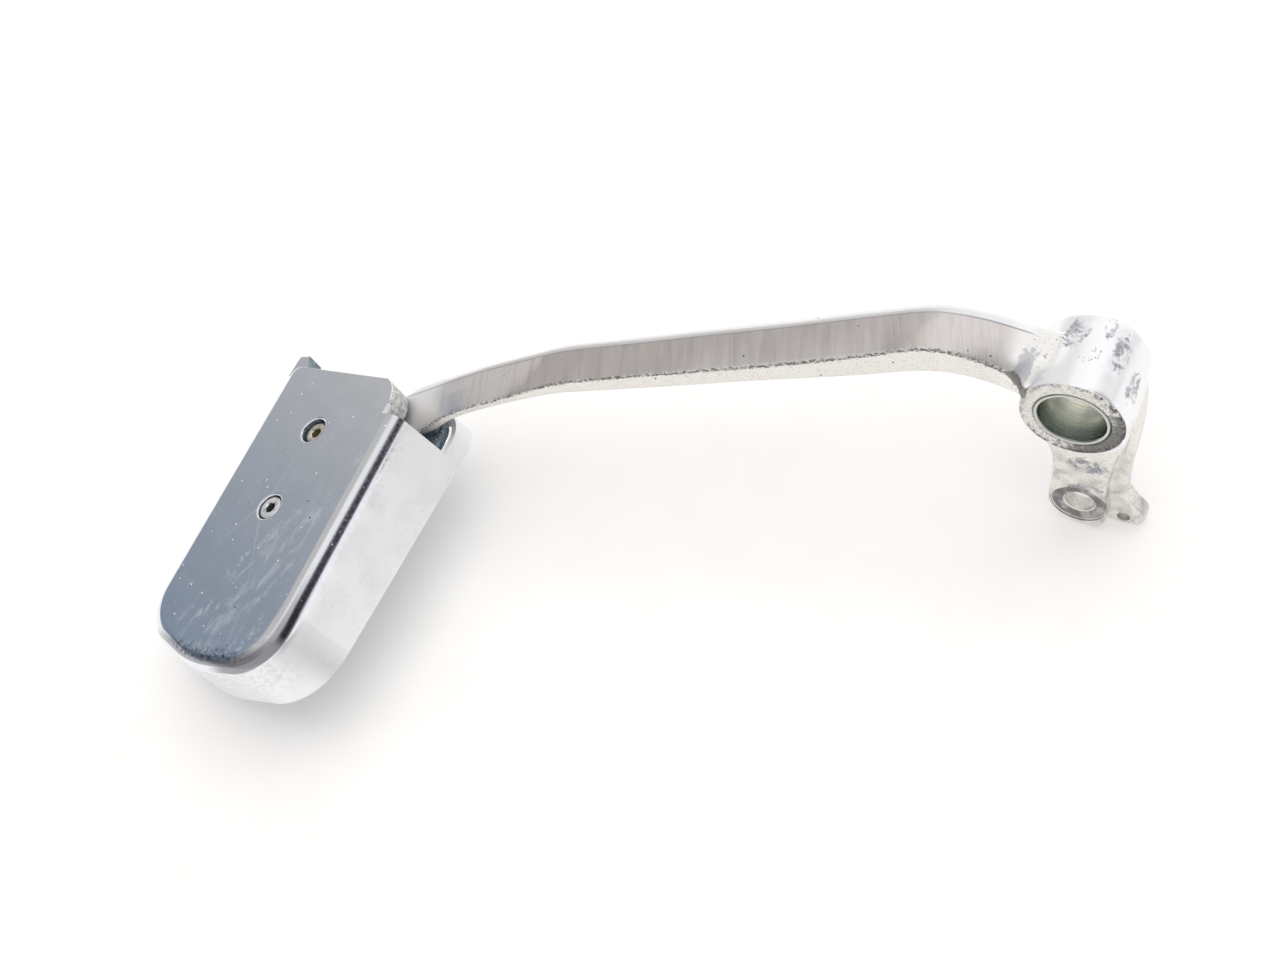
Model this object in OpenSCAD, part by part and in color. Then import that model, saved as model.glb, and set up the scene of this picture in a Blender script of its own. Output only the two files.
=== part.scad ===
// Cranked rear brake pedal arm with a pivot boss, two lugs and a plated pad cover.
// Origin: pivot axis at the outboard face of the boss. +X away from the pad,
// +Y inboard along the pivot axis, +Z up. Units are millimetres.

/* [Show] */
// Which sub-part to draw

/* [Pivot boss] */
// Outside radius of the pivot boss
boss_r = 13.85; // [10:0.05:20]
// Length of the boss along the pivot axis
boss_len = 25; // [16:0.5:40]
// Rounding of the boss at its inboard end
boss_round = 1.8; // [0.5:0.1:4]
// Chamfer of the boss at its outboard end
boss_chamfer = 0.4; // [0.1:0.1:1]
// Outside radius of the steel bush
bush_r = 10; // [7:0.05:12]
// Inside radius of the steel bush
bush_bore_r = 8.75; // [6:0.05:11]
// How far the bush stops short of the inboard end of the boss
bush_inset = 0.6; // [0:0.1:2]
// Radial play between the bush and the boss
bush_clear = 0.02; // [0.01:0.01:0.1]
// How far the boss face stands proud of the lug face
face_step = 1; // [0.2:0.1:3]

/* [Rod lug] */
// Thickness of the rod lug
rod_lug_t = 5.8; // [4:0.1:10]
// Rod hole position along X
rod_hole_x = 5.9; // [0:0.1:15]
// Rod hole position along Z, below the pivot
rod_hole_z = -38.2; // [-60:0.1:-25]
// Rod hole radius
rod_hole_r = 4.1; // [2:0.05:6]
// Radius of the spot face round the rod hole
rod_spot_r = 7.6; // [5:0.1:12]
// Depth of the spot face
rod_spot_deep = 0.7; // [0.2:0.1:2]
// Lowest point of the rod lug
rod_lug_low = -47; // [-70:0.1:-35]

/* [Spring lug] */
// Thickness of the spring lug
spring_lug_t = 4.2; // [3:0.1:9]
// Spring hole position along X
spring_hole_x = 17.8; // [10:0.1:25]
// Spring hole position along Z, below the pivot
spring_hole_z = -45.2; // [-60:0.1:-25]
// Spring hole radius
spring_hole_r = 1.8; // [1:0.05:3]
// Lowest point of the spring lug
spring_lug_low = -48.2; // [-70:0.1:-35]
// Reach of the web that ties the spring lug to the boss, along the boss
web_reach = 22.5; // [14:0.1:24]

/* [Arm] */
// X of the place where the arm starts to crank outboard
crank_start = -14; // [-30:1:0]
// X of the end of the cranked stretch
crank_end = -168; // [-220:1:-120]
// How far the arm has moved outboard at the end of the crank
crank_out = 53.5; // [20:0.5:90]
// Length of the bend at the start of the crank
crank_blend = 34; // [10:1:60]
// How far the arm's outboard side sits in from the boss face
arm_inset = 0.3; // [0:0.1:2]
// Width of the rounding along the arm's inboard top edge
edge_w = 3.7; // [0.5:0.1:5]
// Height of the rounding along the arm's inboard top edge
edge_h = 2.5; // [0.5:0.1:4]
// Bevel under the arm
under_bevel = 2.6; // [1:0.1:4]
// Rounding of the arm's outboard top edge
near_round = 0.5; // [0.2:0.1:2]

/* [Pad cover] */
// Place of the cover's reference point along X, on the top face at its left edge
pad_x = -216.9; // [-300:0.1:-150]
// Place of the reference point along Y
pad_y = -76.4; // [-120:0.1:0]
// Place of the reference point along Z
pad_z = -25.4; // [-60:0.1:0]
// Sideways tilt of the pad
pad_tilt = 22; // [0:0.5:45]
// Fall of the top face towards the tip, measured from the rim
pad_fall = 4; // [0:0.5:10]
// Depth of the cover under the reference point
cover_depth = 23.3; // [12:0.1:40]
// Thickness of the top face
cover_t = 1.8; // [1:0.1:5]
// Thickness of the side walls
cover_wall = 1.5; // [1:0.1:5]
// Rounding between the top face and the right wall
cover_round = 4.5; // [1:0.1:10]
// Rounding between the top face and the left wall
left_round = 3.5; // [1:0.1:10]
// Rounding between the top face and the far wall
far_round = 1; // [0.2:0.1:5]
// Right side of the cover at the top of the wall
cover_right = 53; // [40:0.1:80]
// Left side of the cover at the top of the wall
cover_left = -2; // [-20:0.1:10]
// Tip of the cover at the top of the wall
cover_tip = -60; // [-100:0.1:-30]
// Far end of the cover at the top face
cover_far = 36; // [20:0.1:70]
// Outward lean of the far wall at the rim
flare_far = 2.4; // [0:0.1:8]
// Corner radius at the left of the tip
tip_left_r = 15; // [8:0.5:25]
// Corner radius at the right of the tip
tip_right_r = 14.5; // [8:0.5:25]
// Corner radius at the far end
far_corner_r = 3.5; // [2.5:0.1:10]
// Outward lean of the right wall at the rim
flare_right = 4.2; // [0:0.1:8]
// Outward lean of the left wall at the rim
flare_left = 2; // [0:0.1:8]

/* [Notch] */
// Side of the notch nearest the tip, along the cover
notch_near = 20.5; // [0:0.1:40]
// Right side of the cover beyond the notch
corner_x = 46.4; // [30:0.1:60]
// Depth of the top of the side opening under the top face
notch_top = 7.8; // [2:0.1:12]
// Depth of the bottom of the side opening under the top face
notch_low = 19; // [10:0.1:24]
// Corner radius beyond the notch
corner_round = 9; // [4:0.5:14]

/* [Pad screws] */
// Distance of the screw line from the left edge
screw_x = 23; // [10:0.1:40]
// Root screw position along the cover
screw_root_y = 13.5; // [0:0.1:30]
// Tip screw position along the cover
screw_tip_y = -12.3; // [-40:0.1:0]
// Screw shank radius
screw_r = 2; // [1:0.1:4]
// Screw head radius
head_r = 3.5; // [2:0.1:6]
// Screw head height
head_h = 4; // [2:0.1:8]
// Width across the flats of the socket
socket_af = 3; // [2:0.5:6]
// Depth of the socket
socket_deep = 2.2; // [1:0.1:5]
// Radial room round a screw head
head_clear = 0.4; // [0.1:0.05:1]
// Radial room round a shank in the cover
shank_clear = 0.25; // [0.05:0.05:1]
// Radial room round a shank in the arm's plain tapped hole
thread_clear = 0.05; // [0.01:0.01:0.2]
// Depth of the root screw's head under the top face
root_sink = 1.4; // [0:0.1:3]
// Depth of the tip screw's head under the top face
tip_sink = 0.4; // [0:0.1:3]
// Height of the eased mouth of each screw seat
mouth_h = 0.5; // [0.1:0.1:2]
// Reach of the ear at the far left corner beyond the top face
ear_reach = 2.8; // [0:0.1:6]
// Width of the ear
ear_w = 7; // [2:0.1:15]
// Lowest point of the ear under the top face
ear_low = 6; // [2:0.1:12]
// Radius of the post under each screw
post_r = 6.5; // [4:0.1:10]

/* [Hidden] */
round_fn = 72;
// depth of the arm's flat end under the cover's top face
paddle_top = 9;
// thickness of the arm's flat end
paddle_t = 7.5;
// half width of the arm's flat end
paddle_half = 8;
// thickness of the foot plate under the flat end, its room inside the walls and its tip side
foot_t = 3;
foot_gap = 0.6;
foot_tip = -20;
// share of the walls' outward lean at the top of the foot plate
foot_lean = (paddle_top + paddle_t - cover_round) / (cover_depth - cover_round);
// length of the screws from the top face
screw_len = paddle_top + paddle_t - 1;
// stations along the arm: x, inboard top z, drop of the outboard edge, side height, flat width
stations = [
    [-2, 12.6, 2.5, 5, 13],
    [-6, 12.7, 2.5, 4, 13],
    [-9, 12.8, 4.5, 3, 13],
    [-12, 13, 8, 1, 13],
    [-13.6, 13.2, 8, 0.8, 13],
    [-14.6, 13.4, 4.4, 4.2, 13],
    [-16.5, 13.7, 2.8, 5.7, 13],
    [-19, 13.9, 1.9, 6.2, 13],
    [-24, 14.7, 1.3, 6.5, 13],
    [-30, 15.6, 0.6, 7.2, 13],
    [-35, 16.2, 0.2, 8, 13],
    [-39, 16.5, 0.3, 8.5, 13],
    [-44, 16.1, 0.8, 8.2, 13],
    [-50, 15.2, 1.3, 7.6, 13],
    [-60, 13.7, 1.5, 6.7, 13],
    [-72, 11.7, 1.1, 5.8, 13],
    [-84, 10, 0.7, 5.2, 13],
    [-96, 8.4, 0.1, 5.2, 13],
    [-109, 6.4, -0.6, 4.8, 13],
    [-121, 4.8, -0.9, 4.3, 13],
    [-127, 4, -0.8, 3.8, 13],
    [-133, 2.7, 0, 3, 13],
    [-142, -0.5, 0.8, 1.9, 13],
    [-153, -4.7, 1.2, 1.8, 13],
    [-159, -7.4, 2, 2, 13],
    [-164, -9.8, 4, 2.2, 13],
    [-169, -12.4, 5.4, 2.4, 13],
    [-174, -15, 5.6, 2.4, 12.6],
    [-177.5, -16.7, 5.1, 2.4, 10.2],
    [-182, -19.5, 4.6, 2.4, 9],
];
// place of the pad that the stations are written for; the arm follows when the pad moves
station_pad = [-216.9, -76.4, -25.4];
// points between two stations
per_span = 3;
// how far the cover's rings run past the rim before they are cut off, and their lean there
rim_extra = 2;
rim_lean = 1 + rim_extra / (cover_depth - cover_round);
// larger than the whole part
big = 400;
// the web halfway down and at its foot: left side, height and width
web_mid = [8.5, -24, 8];
web_foot = [11, -36, 6.1];

function unit(v) = v / norm(v);

// smooth value between stations k and k + 1 at the share t
function spline(s, k, t) =
    let (a = s[max(k - 1, 0)], b = s[k], c = s[k + 1], d = s[min(k + 2, len(s) - 1)])
    0.5 * (2 * b + (c - a) * t + (2 * a - 5 * b + 4 * c - d) * t * t
        + (3 * b - a - 3 * c + d) * t * t * t);

// outboard side of the arm at a place along X
function near_y(x) =
    let (d = max(crank_start - x, 0),
         k = crank_out / (crank_start - crank_end - crank_blend / 2))
    arm_inset - (d < crank_blend ? k * d * d / (2 * crank_blend) : k * (d - crank_blend / 2));

// share of the way from the start of the crank to the pad
function along(x) = max(0, min(1, (crank_start - x) / (crank_start - stations[len(stations) - 1][0])));

// ring of one station, moved along with the pad
function placed_ring(s) =
    [for (p = arm_ring(s)) p + ([pad_x, pad_y, pad_z] - station_pad) * along(s[0])];

// cross-section of the arm in the plane of one station
function arm_ring(s) =
    let (x = s[0], z = s[1], drop = s[2], side = s[3], w = s[4], y = near_y(x),
         zn = z - drop, zb = zn - side, u = under_bevel, r = near_round)
    [
        [x, y, zn - r],
        [x, y + r * 0.3, zn - r * 0.3],
        [x, y + r, zn],
        [x, y + 2, z - drop * 0.8],
        [x, y + 4.5, z - drop * 0.5],
        [x, y + 8, z - drop * 0.2],
        for (a = [90:-15:0]) [x, y + w + edge_w * cos(a), z - edge_h * (1 - sin(a))],
        [x, y + w + edge_w, min(zb, z - edge_h - 0.4)],
        [x, y + w + edge_w - u, min(zb, z - edge_h - 0.4) - u],
        [x, y + u, zb - u],
        [x, y, zb],
    ];

// closed body through a list of rings with the same number of points
module loft(rings) {
    n = len(rings[0]);
    m = len(rings);
    polyhedron(
        points = [for (r = rings) for (p = r) p],
        faces = [
            [for (i = [0:n - 1]) i],
            for (j = [0:m - 2]) for (i = [0:n - 1])
                each [[j * n + i, (j + 1) * n + i, (j + 1) * n + (i + 1) % n],
                      [j * n + i, (j + 1) * n + (i + 1) % n, j * n + (i + 1) % n]],
            [for (i = [n - 1:-1:0]) (m - 1) * n + i],
        ]);
}

// points of a corner with the radius r, on the way from p over c to q
function corner(p, c, q, r, n) =
    let (a = unit(p - c), b = unit(q - c), half = acos(a * b) / 2,
         o = c + unit(a + b) * r / sin(half),
         s = c + a * r / tan(half) - o, e = c + b * r / tan(half) - o,
         g = atan2(s[1], s[0]), turn = atan2(e[1], e[0]) - g,
         sweep = turn > 180 ? turn - 360 : turn < -180 ? turn + 360 : turn)
    [for (i = [0:n]) o + r * [cos(g + sweep * i / n), sin(g + sweep * i / n)]];

// outline of the cover with the given sides; r_left and r_right round the tip, r_far the far end
function cover_outline(left, right, tip, far, r_left, r_right, r_far) =
    let (c = [
            [left, far, r_far],
            [left, tip + 7.4, r_left],
            [24, tip - 1.6, 40],
            [right - 2, tip + 0.5, r_right],
            [right, tip + 16, 40],
            [right, far - 3.6, r_far + 4],
        ],
        n = len(c), p = [for (v = c) [v[0], v[1]]])
    [for (i = [0:n - 1]) each corner(p[(i + n - 1) % n], p[i], p[(i + 1) % n], c[i][2], 8)];

// height of the rim plane, seen from the top face
function rim_z(y) = -cover_depth - y * tan(pad_fall);

// rings of the cover from just under the rim to the top face, pulled in by the wall w
function cover_rings(w, top) =
    let (m = cover_outline(cover_left + w, cover_right - w, cover_tip + w, cover_far - w,
                           tip_left_r - w, tip_right_r - w, far_corner_r - w),
         b = cover_outline(cover_left - flare_left * rim_lean + w,
                           cover_right + flare_right * rim_lean - w,
                           cover_tip + w, cover_far + flare_far * rim_lean - w,
                           tip_left_r - 1 - w, tip_right_r + 1.5 - w, far_corner_r + 3 - w),
         a = cover_outline(cover_left + left_round, cover_right - cover_round,
                           cover_tip + cover_round, cover_far - far_round,
                           tip_left_r - 3, tip_right_r - 4, far_corner_r - 1))
    [
        [for (p = b) [p[0], p[1], rim_z(p[1]) - rim_extra]],
        for (g = [0:15:90])
            [for (i = [0:len(a) - 1])
                let (p = a[i] + (m[i] - a[i]) * cos(g))
                [p[0], p[1], -top - (cover_round - top) * (1 - sin(g))]],
    ];

// everything under the rim plane of the cover
module below_rim() {
    translate([0, 0, -cover_depth]) rotate([-pad_fall, 0, 0])
        translate([-big / 2, -big / 2, -big]) cube(big);
}

// puts a shape drawn in the cover's own frame in its place
module in_pad_frame() {
    translate([pad_x, pad_y, pad_z]) rotate([0, -pad_tilt, 0]) rotate([pad_fall, 0, 0]) children();
}

// plate drawn in X and Z, from y0 to y0 + t
module xz_plate(y0, t) {
    translate([0, y0 + t, 0]) rotate([90, 0, 0]) linear_extrude(t) children();
}

// round bar along the pivot axis from y0 to y1
module y_bar(x, z, r, y0, y1) {
    translate([x, y0, z]) rotate([-90, 0, 0]) cylinder(h = y1 - y0, r = r, $fn = round_fn);
}

// outline of the rod lug
module rod_lug_shape() {
    low = rod_lug_low;
    polygon([
        [-10.5, -4], [-8.6, -10.2], [-5.6, -14.2], [-3.8, -18], [-3, -23], [-2.6, -30],
        [-2.6, -38], [-2.2, -41.2], [-0.8, -43.8], [1.6, -45.6], [5, low + 0.3], [9, low],
        [11.4, low], [13, -45.6], [13.7, -42.5], [13.3, -38], [12.4, -33], [12.2, -24],
        [12.8, -13], [13.6, -4], [0, 0],
    ]);
}

// outline of the spring lug
module spring_lug_shape() {
    low = spring_lug_low;
    polygon([
        [8, -4], [14.9, -6], [16.4, -14], [16.6, -22], [16.4, -28], [16.8, -33], [17.8, -36.4],
        [20.2, -39.6], [22.5, -42], [23.5, -44], [23, -46.2], [21.2, -47.7], [18.5, low],
        [13, low], [11.4, -45.4], [11, -34], [8.4, -27],
    ]);
}

module boss_body() {
    rotate([-90, 0, 0]) rotate_extrude($fn = round_fn) polygon([
        [0, 0],
        [boss_r - boss_chamfer, 0],
        [boss_r, boss_chamfer],
        for (a = [0:15:90])
            [boss_r - boss_round + boss_round * cos(a), boss_len - boss_round + boss_round * sin(a)],
        [0, boss_len],
    ]);
}

// web from the inboard part of the boss down to the spring lug
module web() {
    hull() {
        y_bar(3.6, 0, boss_r - 2.5, face_step + rod_lug_t, web_reach);
        web_slice(web_mid);
    }
    hull() {
        web_slice(web_mid);
        web_slice(web_foot);
    }
}

module web_slice(s) {
    translate([s[0], face_step + rod_lug_t, s[1]]) cube([s[2], spring_lug_t, 2]);
}

// flat end of the arm inside the cover
module paddle_body() {
    in_pad_frame() translate([0, 0, -paddle_top - paddle_t]) linear_extrude(paddle_t) {
        polygon([
            [41.5, 19.5], [41.5, 31.5], [38, 31], [28, 28], [19, 23], [15, 18], [screw_x - paddle_half, 12],
            [screw_x - paddle_half, screw_tip_y], [screw_x + paddle_half, screw_tip_y],
            [screw_x + paddle_half, 9], [34, 14.5], [40, 18.5],
        ]);
        translate([screw_x, screw_tip_y]) circle(r = paddle_half, $fn = 48);
    }
    in_pad_frame() translate([0, 0, -paddle_top - paddle_t - foot_t]) linear_extrude(foot_t + 0.5)
        intersection() {
            w = cover_wall + foot_gap;
            polygon(cover_outline(cover_left - flare_left * foot_lean + w,
                                  cover_right + flare_right * foot_lean - w,
                                  cover_tip + w, cover_far + flare_far * foot_lean - w,
                                  tip_left_r - w, tip_right_r - w, far_corner_r + 1.5 - w));
            translate([-big / 2, foot_tip]) square(big);
        }
}

module arm_body() {
    boss_body();
    xz_plate(face_step, rod_lug_t) rod_lug_shape();
    xz_plate(face_step + rod_lug_t, spring_lug_t) spring_lug_shape();
    web();
    loft([
        for (k = [0:len(stations) - 2]) for (i = [0:per_span - 1])
            placed_ring(spline(stations, k, i / per_span)),
        placed_ring(stations[len(stations) - 1]),
    ]);
    paddle_body();
}

module pedal_arm() {
    color([0.72, 0.71, 0.69]) difference() {
        arm_body();
        y_bar(0, 0, bush_r + bush_clear, -1, boss_len + 1);
        y_bar(rod_hole_x, rod_hole_z, rod_hole_r, 0, face_step + rod_lug_t + 1);
        y_bar(rod_hole_x, rod_hole_z, rod_spot_r, 0, face_step + rod_spot_deep);
        y_bar(spring_hole_x, spring_hole_z, spring_hole_r, face_step, boss_len);
        in_pad_frame() for (y = [screw_root_y, screw_tip_y])
            translate([screw_x, y, -paddle_top - paddle_t])
                cylinder(h = paddle_t + 2, r = screw_r + thread_clear, $fn = 48);
    }
}

module pivot_bush() {
    color([0.5, 0.5, 0.46]) rotate([-90, 0, 0])
        difference() {
            cylinder(h = boss_len - bush_inset, r = bush_r, $fn = round_fn);
            translate([0, 0, -1]) cylinder(h = boss_len + 2, r = bush_bore_r, $fn = round_fn);
        }
}

// seat, shank hole and mouth for one pad screw
module screw_seat(y, sink) {
    translate([screw_x, y, 0]) {
        translate([0, 0, -sink - head_h]) cylinder(h = cover_depth, r = head_r + head_clear, $fn = 48);
        translate([0, 0, -paddle_top - 1]) cylinder(h = cover_depth, r = screw_r + shank_clear,
            $fn = 48);
        translate([0, 0, -mouth_h]) cylinder(h = mouth_h + 0.1, r1 = head_r + head_clear,
            r2 = head_r + head_clear + mouth_h, $fn = 48);
    }
}

module pad_cover() {
    color([0.75, 0.77, 0.8]) in_pad_frame() difference() {
        union() {
            difference() {
                loft(cover_rings(0, 0));
                loft(cover_rings(cover_wall, cover_t));
                below_rim();
            }
            ear();
            for (y = [screw_root_y, screw_tip_y]) translate([screw_x, y, -paddle_top])
                cylinder(h = paddle_top - 1, r = post_r, $fn = 48);
        }
        screw_seat(screw_root_y, root_sink);
        screw_seat(screw_tip_y, tip_sink);
        translate([0, 0, -notch_low]) linear_extrude(notch_low + 2) difference() {
            beyond_notch();
            corner_shape(0);
        }
        translate([0, 0, -notch_low]) linear_extrude(notch_low - notch_top) beyond_notch();
    }
    color([0.75, 0.77, 0.8]) in_pad_frame()
        translate([0, 0, -notch_top]) linear_extrude(notch_top - 1) difference() {
            corner_shape(0);
            corner_shape(cover_wall);
            translate([0, notch_near - big]) square(big);
            translate([corner_x - corner_round - big, 0]) square(big);
        }
}

// ear that stands out at the far left corner of the cover
module ear() {
    translate([cover_left + 1.6, cover_far - 4, -ear_low]) linear_extrude(ear_low - 0.4) hull() {
        for (x = [1, ear_w - 4]) translate([x, ear_reach + 3]) circle(r = 1, $fn = 24);
        square([ear_w, 1]);
    }
}

// square that starts at the corner of the notch and reaches past the cover
module beyond_notch() {
    translate([corner_x - corner_round, notch_near]) square(40);
}

// cover outline beyond the notch, pulled in by w
module corner_shape(w) {
    n = notch_near;
    x = corner_x - w;
    y = cover_far - 2.9 - w;
    polygon([
        [x - 30, n - 1 - w], [x, n - 1 - w],
        each corner([x, n], [x, y], [x - 30, y], corner_round - w, 10),
        [x - 30, y + 1],
    ]);
}

// cap screw with a hexagon socket, its head's top at z = 0
module cap_screw(length) {
    difference() {
        union() {
            translate([0, 0, -head_h]) cylinder(h = head_h - 0.4, r = head_r, $fn = 48);
            translate([0, 0, -0.4]) cylinder(h = 0.4, r1 = head_r, r2 = head_r - 0.4, $fn = 48);
            translate([0, 0, -length]) cylinder(h = length - 1, r = screw_r, $fn = 48);
        }
        translate([0, 0, -socket_deep]) cylinder(h = 10, r = socket_af / 2 / cos(30), $fn = 6);
    }
}

module pad_screw_root() {
    color([0.62, 0.55, 0.38]) in_pad_frame()
        translate([screw_x, screw_root_y, -root_sink]) cap_screw(screw_len - root_sink);
}

module pad_screw_tip() {
    color([0.6, 0.6, 0.58]) in_pad_frame()
        translate([screw_x, screw_tip_y, -tip_sink]) cap_screw(screw_len - tip_sink);
}

pedal_arm();
pivot_bush();
pad_cover();
pad_screw_root();
pad_screw_tip();
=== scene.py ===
"""Rear brake pedal: cast arm with a bushed boss, two lugs and a plated pad cover."""
from math import acos, atan2, cos, pi, radians, sin, tan
from types import SimpleNamespace

import bpy
from mathutils import Matrix, Vector


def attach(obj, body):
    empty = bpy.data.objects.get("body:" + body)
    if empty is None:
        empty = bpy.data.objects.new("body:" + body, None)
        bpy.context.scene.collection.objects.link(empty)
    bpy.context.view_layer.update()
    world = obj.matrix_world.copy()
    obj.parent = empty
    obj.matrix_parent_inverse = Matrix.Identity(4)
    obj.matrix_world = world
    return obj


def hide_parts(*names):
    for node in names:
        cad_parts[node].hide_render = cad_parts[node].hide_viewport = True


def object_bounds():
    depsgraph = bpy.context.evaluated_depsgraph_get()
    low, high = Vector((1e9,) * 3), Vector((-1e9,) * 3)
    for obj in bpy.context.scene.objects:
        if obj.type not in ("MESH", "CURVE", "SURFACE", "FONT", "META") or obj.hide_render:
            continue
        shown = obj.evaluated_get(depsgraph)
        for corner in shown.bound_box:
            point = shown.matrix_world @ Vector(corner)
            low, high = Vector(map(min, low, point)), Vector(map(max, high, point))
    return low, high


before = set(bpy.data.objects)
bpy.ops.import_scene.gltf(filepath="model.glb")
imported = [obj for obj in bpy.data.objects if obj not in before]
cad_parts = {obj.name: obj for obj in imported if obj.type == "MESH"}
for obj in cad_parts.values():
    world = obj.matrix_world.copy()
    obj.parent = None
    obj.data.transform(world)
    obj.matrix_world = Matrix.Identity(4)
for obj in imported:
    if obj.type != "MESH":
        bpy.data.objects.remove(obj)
cad_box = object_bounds()
MM = 0.001

# sizes that the solids use too, in millimetres
BOSS_R, BOSS_LEN, BUSH_R, BORE_R, BUSH_LEN = 13.85, 25.0, 10.0, 8.75, 24.4
FACE_STEP, ROD_T, SPRING_T = 1.0, 5.8, 4.2
ROD_HOLE = (5.9, -38.2, 4.1)
SPOT_R = 7.6
SPRING_HOLE = (17.8, -45.2, 1.8)
CRANK_START, CRANK_END, CRANK_OUT, CRANK_BLEND = -14.0, -168.0, 53.5, 34.0
ARM_INSET, EDGE_W, EDGE_H, UNDER, NEAR_ROUND = 0.3, 3.7, 2.5, 2.6, 0.5
COVER_DEPTH, COVER_T, WALL, PAD_FALL, PAD_TILT = 23.3, 1.8, 1.5, 4.0, 22.0
SIDE_ROLL, LEFT_ROLL, FAR_ROLL = 4.5, 3.5, 1.0
NOTCH_NEAR, CORNER_X, CORNER_ROUND, NOTCH_TOP, NOTCH_LOW = 20.5, 46.4, 9.0, 7.8, 19.0
COVER_FAR, COVER_LEFT, COVER_RIGHT, COVER_TIP = 36.0, -2.0, 53.0, -60.0
FLARE_LEFT, FLARE_RIGHT, FLARE_FAR = 2.0, 4.2, 2.4
# rounds of the cover's left tip, right tip and far corners: half way up, at the rim, on the top face
MID_ROUNDS, RIM_ROUNDS, TOP_ROUNDS = (15, 14.5, 3.5), (14, 16, 6.5), (12, 10.5, 2.5)
CORNER_FAR = COVER_FAR - 2.9
SCREW_X, ROOT_Y, TIP_Y, ROOT_SINK, TIP_SINK = 23.0, 13.5, -12.3, 1.4, 0.4
HEAD_R, HEAD_H, SCREW_R, SCREW_LEN = 3.5, 4.0, 2.0, 15.5
TAP_R, POST_R, SHANK_HOLE_R, SEAT_R, KEY_WIDTH, KEY_DEPTH = 2.05, 6.5, 2.25, 3.9, 3.0, 2.2
PADDLE_TOP, PADDLE_T, PADDLE_HALF, FOOT_T, FOOT_GAP, FOOT_TIP = 9.0, 7.5, 8.0, 3.0, 0.6, -20.0
PAD = (Matrix.Translation((-216.9, -76.4, -25.4)) @ Matrix.Rotation(radians(-PAD_TILT), 4, "Y")
       @ Matrix.Rotation(radians(PAD_FALL), 4, "X"))

# stations along the arm: x, inboard top z, drop of the outboard edge, side height, flat width
STATIONS = [
    (-2, 12.6, 2.5, 5, 13), (-6, 12.7, 2.5, 4, 13), (-9, 12.8, 4.5, 3, 13), (-12, 13, 8, 1, 13),
    (-13.6, 13.2, 8, 0.8, 13), (-14.6, 13.4, 4.4, 4.2, 13), (-16.5, 13.7, 2.8, 5.7, 13),
    (-19, 13.9, 1.9, 6.2, 13), (-24, 14.7, 1.3, 6.5, 13), (-30, 15.6, 0.6, 7.2, 13),
    (-35, 16.2, 0.2, 8, 13), (-39, 16.5, 0.3, 8.5, 13), (-44, 16.1, 0.8, 8.2, 13),
    (-50, 15.2, 1.3, 7.6, 13), (-60, 13.7, 1.5, 6.7, 13), (-72, 11.7, 1.1, 5.8, 13),
    (-84, 10, 0.7, 5.2, 13), (-96, 8.4, 0.1, 5.2, 13), (-109, 6.4, -0.6, 4.8, 13),
    (-121, 4.8, -0.9, 4.3, 13), (-127, 4, -0.8, 3.8, 13), (-133, 2.7, 0, 3, 13),
    (-142, -0.5, 0.8, 1.9, 13), (-153, -4.7, 1.2, 1.8, 13), (-159, -7.4, 2, 2, 13),
    (-164, -9.8, 4, 2.2, 13), (-169, -12.4, 5.4, 2.4, 13), (-174, -15, 5.6, 2.4, 12.6),
    (-177.5, -16.7, 5.1, 2.4, 10.2), (-182, -19.5, 4.6, 2.4, 9),
]


# Modelling helpers

def only(obj):
    """Select one object and make it the active one."""
    bpy.ops.object.select_all(action="DESELECT")
    obj.select_set(True)
    bpy.context.view_layer.objects.active = obj


def in_edit(obj, *steps):
    only(obj)
    bpy.ops.object.mode_set(mode="EDIT")
    bpy.ops.mesh.select_all(action="SELECT")
    for step in steps:
        step()
    bpy.ops.object.mode_set(mode="OBJECT")


def face_out():
    bpy.ops.mesh.select_all(action="SELECT")
    bpy.ops.mesh.remove_doubles(threshold=1e-7)
    bpy.ops.mesh.normals_make_consistent(inside=False)


def close_ends():
    bpy.ops.mesh.remove_doubles(threshold=1e-7)
    bpy.ops.mesh.select_all(action="DESELECT")
    bpy.ops.mesh.select_non_manifold()
    bpy.ops.mesh.fill_holes(sides=0)


def lofted(name, rings):
    """Closed body through rings of points in millimetres, all with the same number."""
    n, m = len(rings[0]), len(rings)
    bpy.ops.object.select_all(action="DESELECT")
    bpy.ops.mesh.primitive_grid_add(x_subdivisions=n, y_subdivisions=m - 1, size=1)
    obj = bpy.context.object
    obj.name = name
    for v in obj.data.vertices:
        i, j = round((v.co.x + 0.5) * n), round((v.co.y + 0.5) * (m - 1))
        v.co = Vector(rings[j][i % n]) * MM
    in_edit(obj, close_ends, face_out)
    return obj


def circle(steps):
    """Points of a circle with radius 1."""
    return [(cos(2 * pi * k / steps), sin(2 * pi * k / steps)) for k in range(steps)]


def turned(name, profile, steps=144, x=0.0, z=0.0):
    """Body turned about an axis along Y; the profile is a list of radius and y."""
    ring = circle(steps)
    return lofted(name, [[(x + r * c, y, z + r * s) for c, s in ring] for r, y in profile])


def combine(obj, other, how="UNION"):
    """Exact boolean; the other body is used up."""
    mod = obj.modifiers.new(how.lower(), "BOOLEAN")
    mod.operation, mod.object, mod.solver = how, other, "EXACT"
    only(obj)
    bpy.ops.object.modifier_apply(modifier=mod.name)
    bpy.data.objects.remove(other)
    return obj


def joined(name, *objs):
    """One object of several bodies that still overlap."""
    bpy.ops.object.select_all(action="DESELECT")
    for o in objs:
        o.select_set(True)
    bpy.context.view_layer.objects.active = objs[0]
    bpy.ops.object.join()
    objs[0].name = name
    return objs[0]


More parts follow.
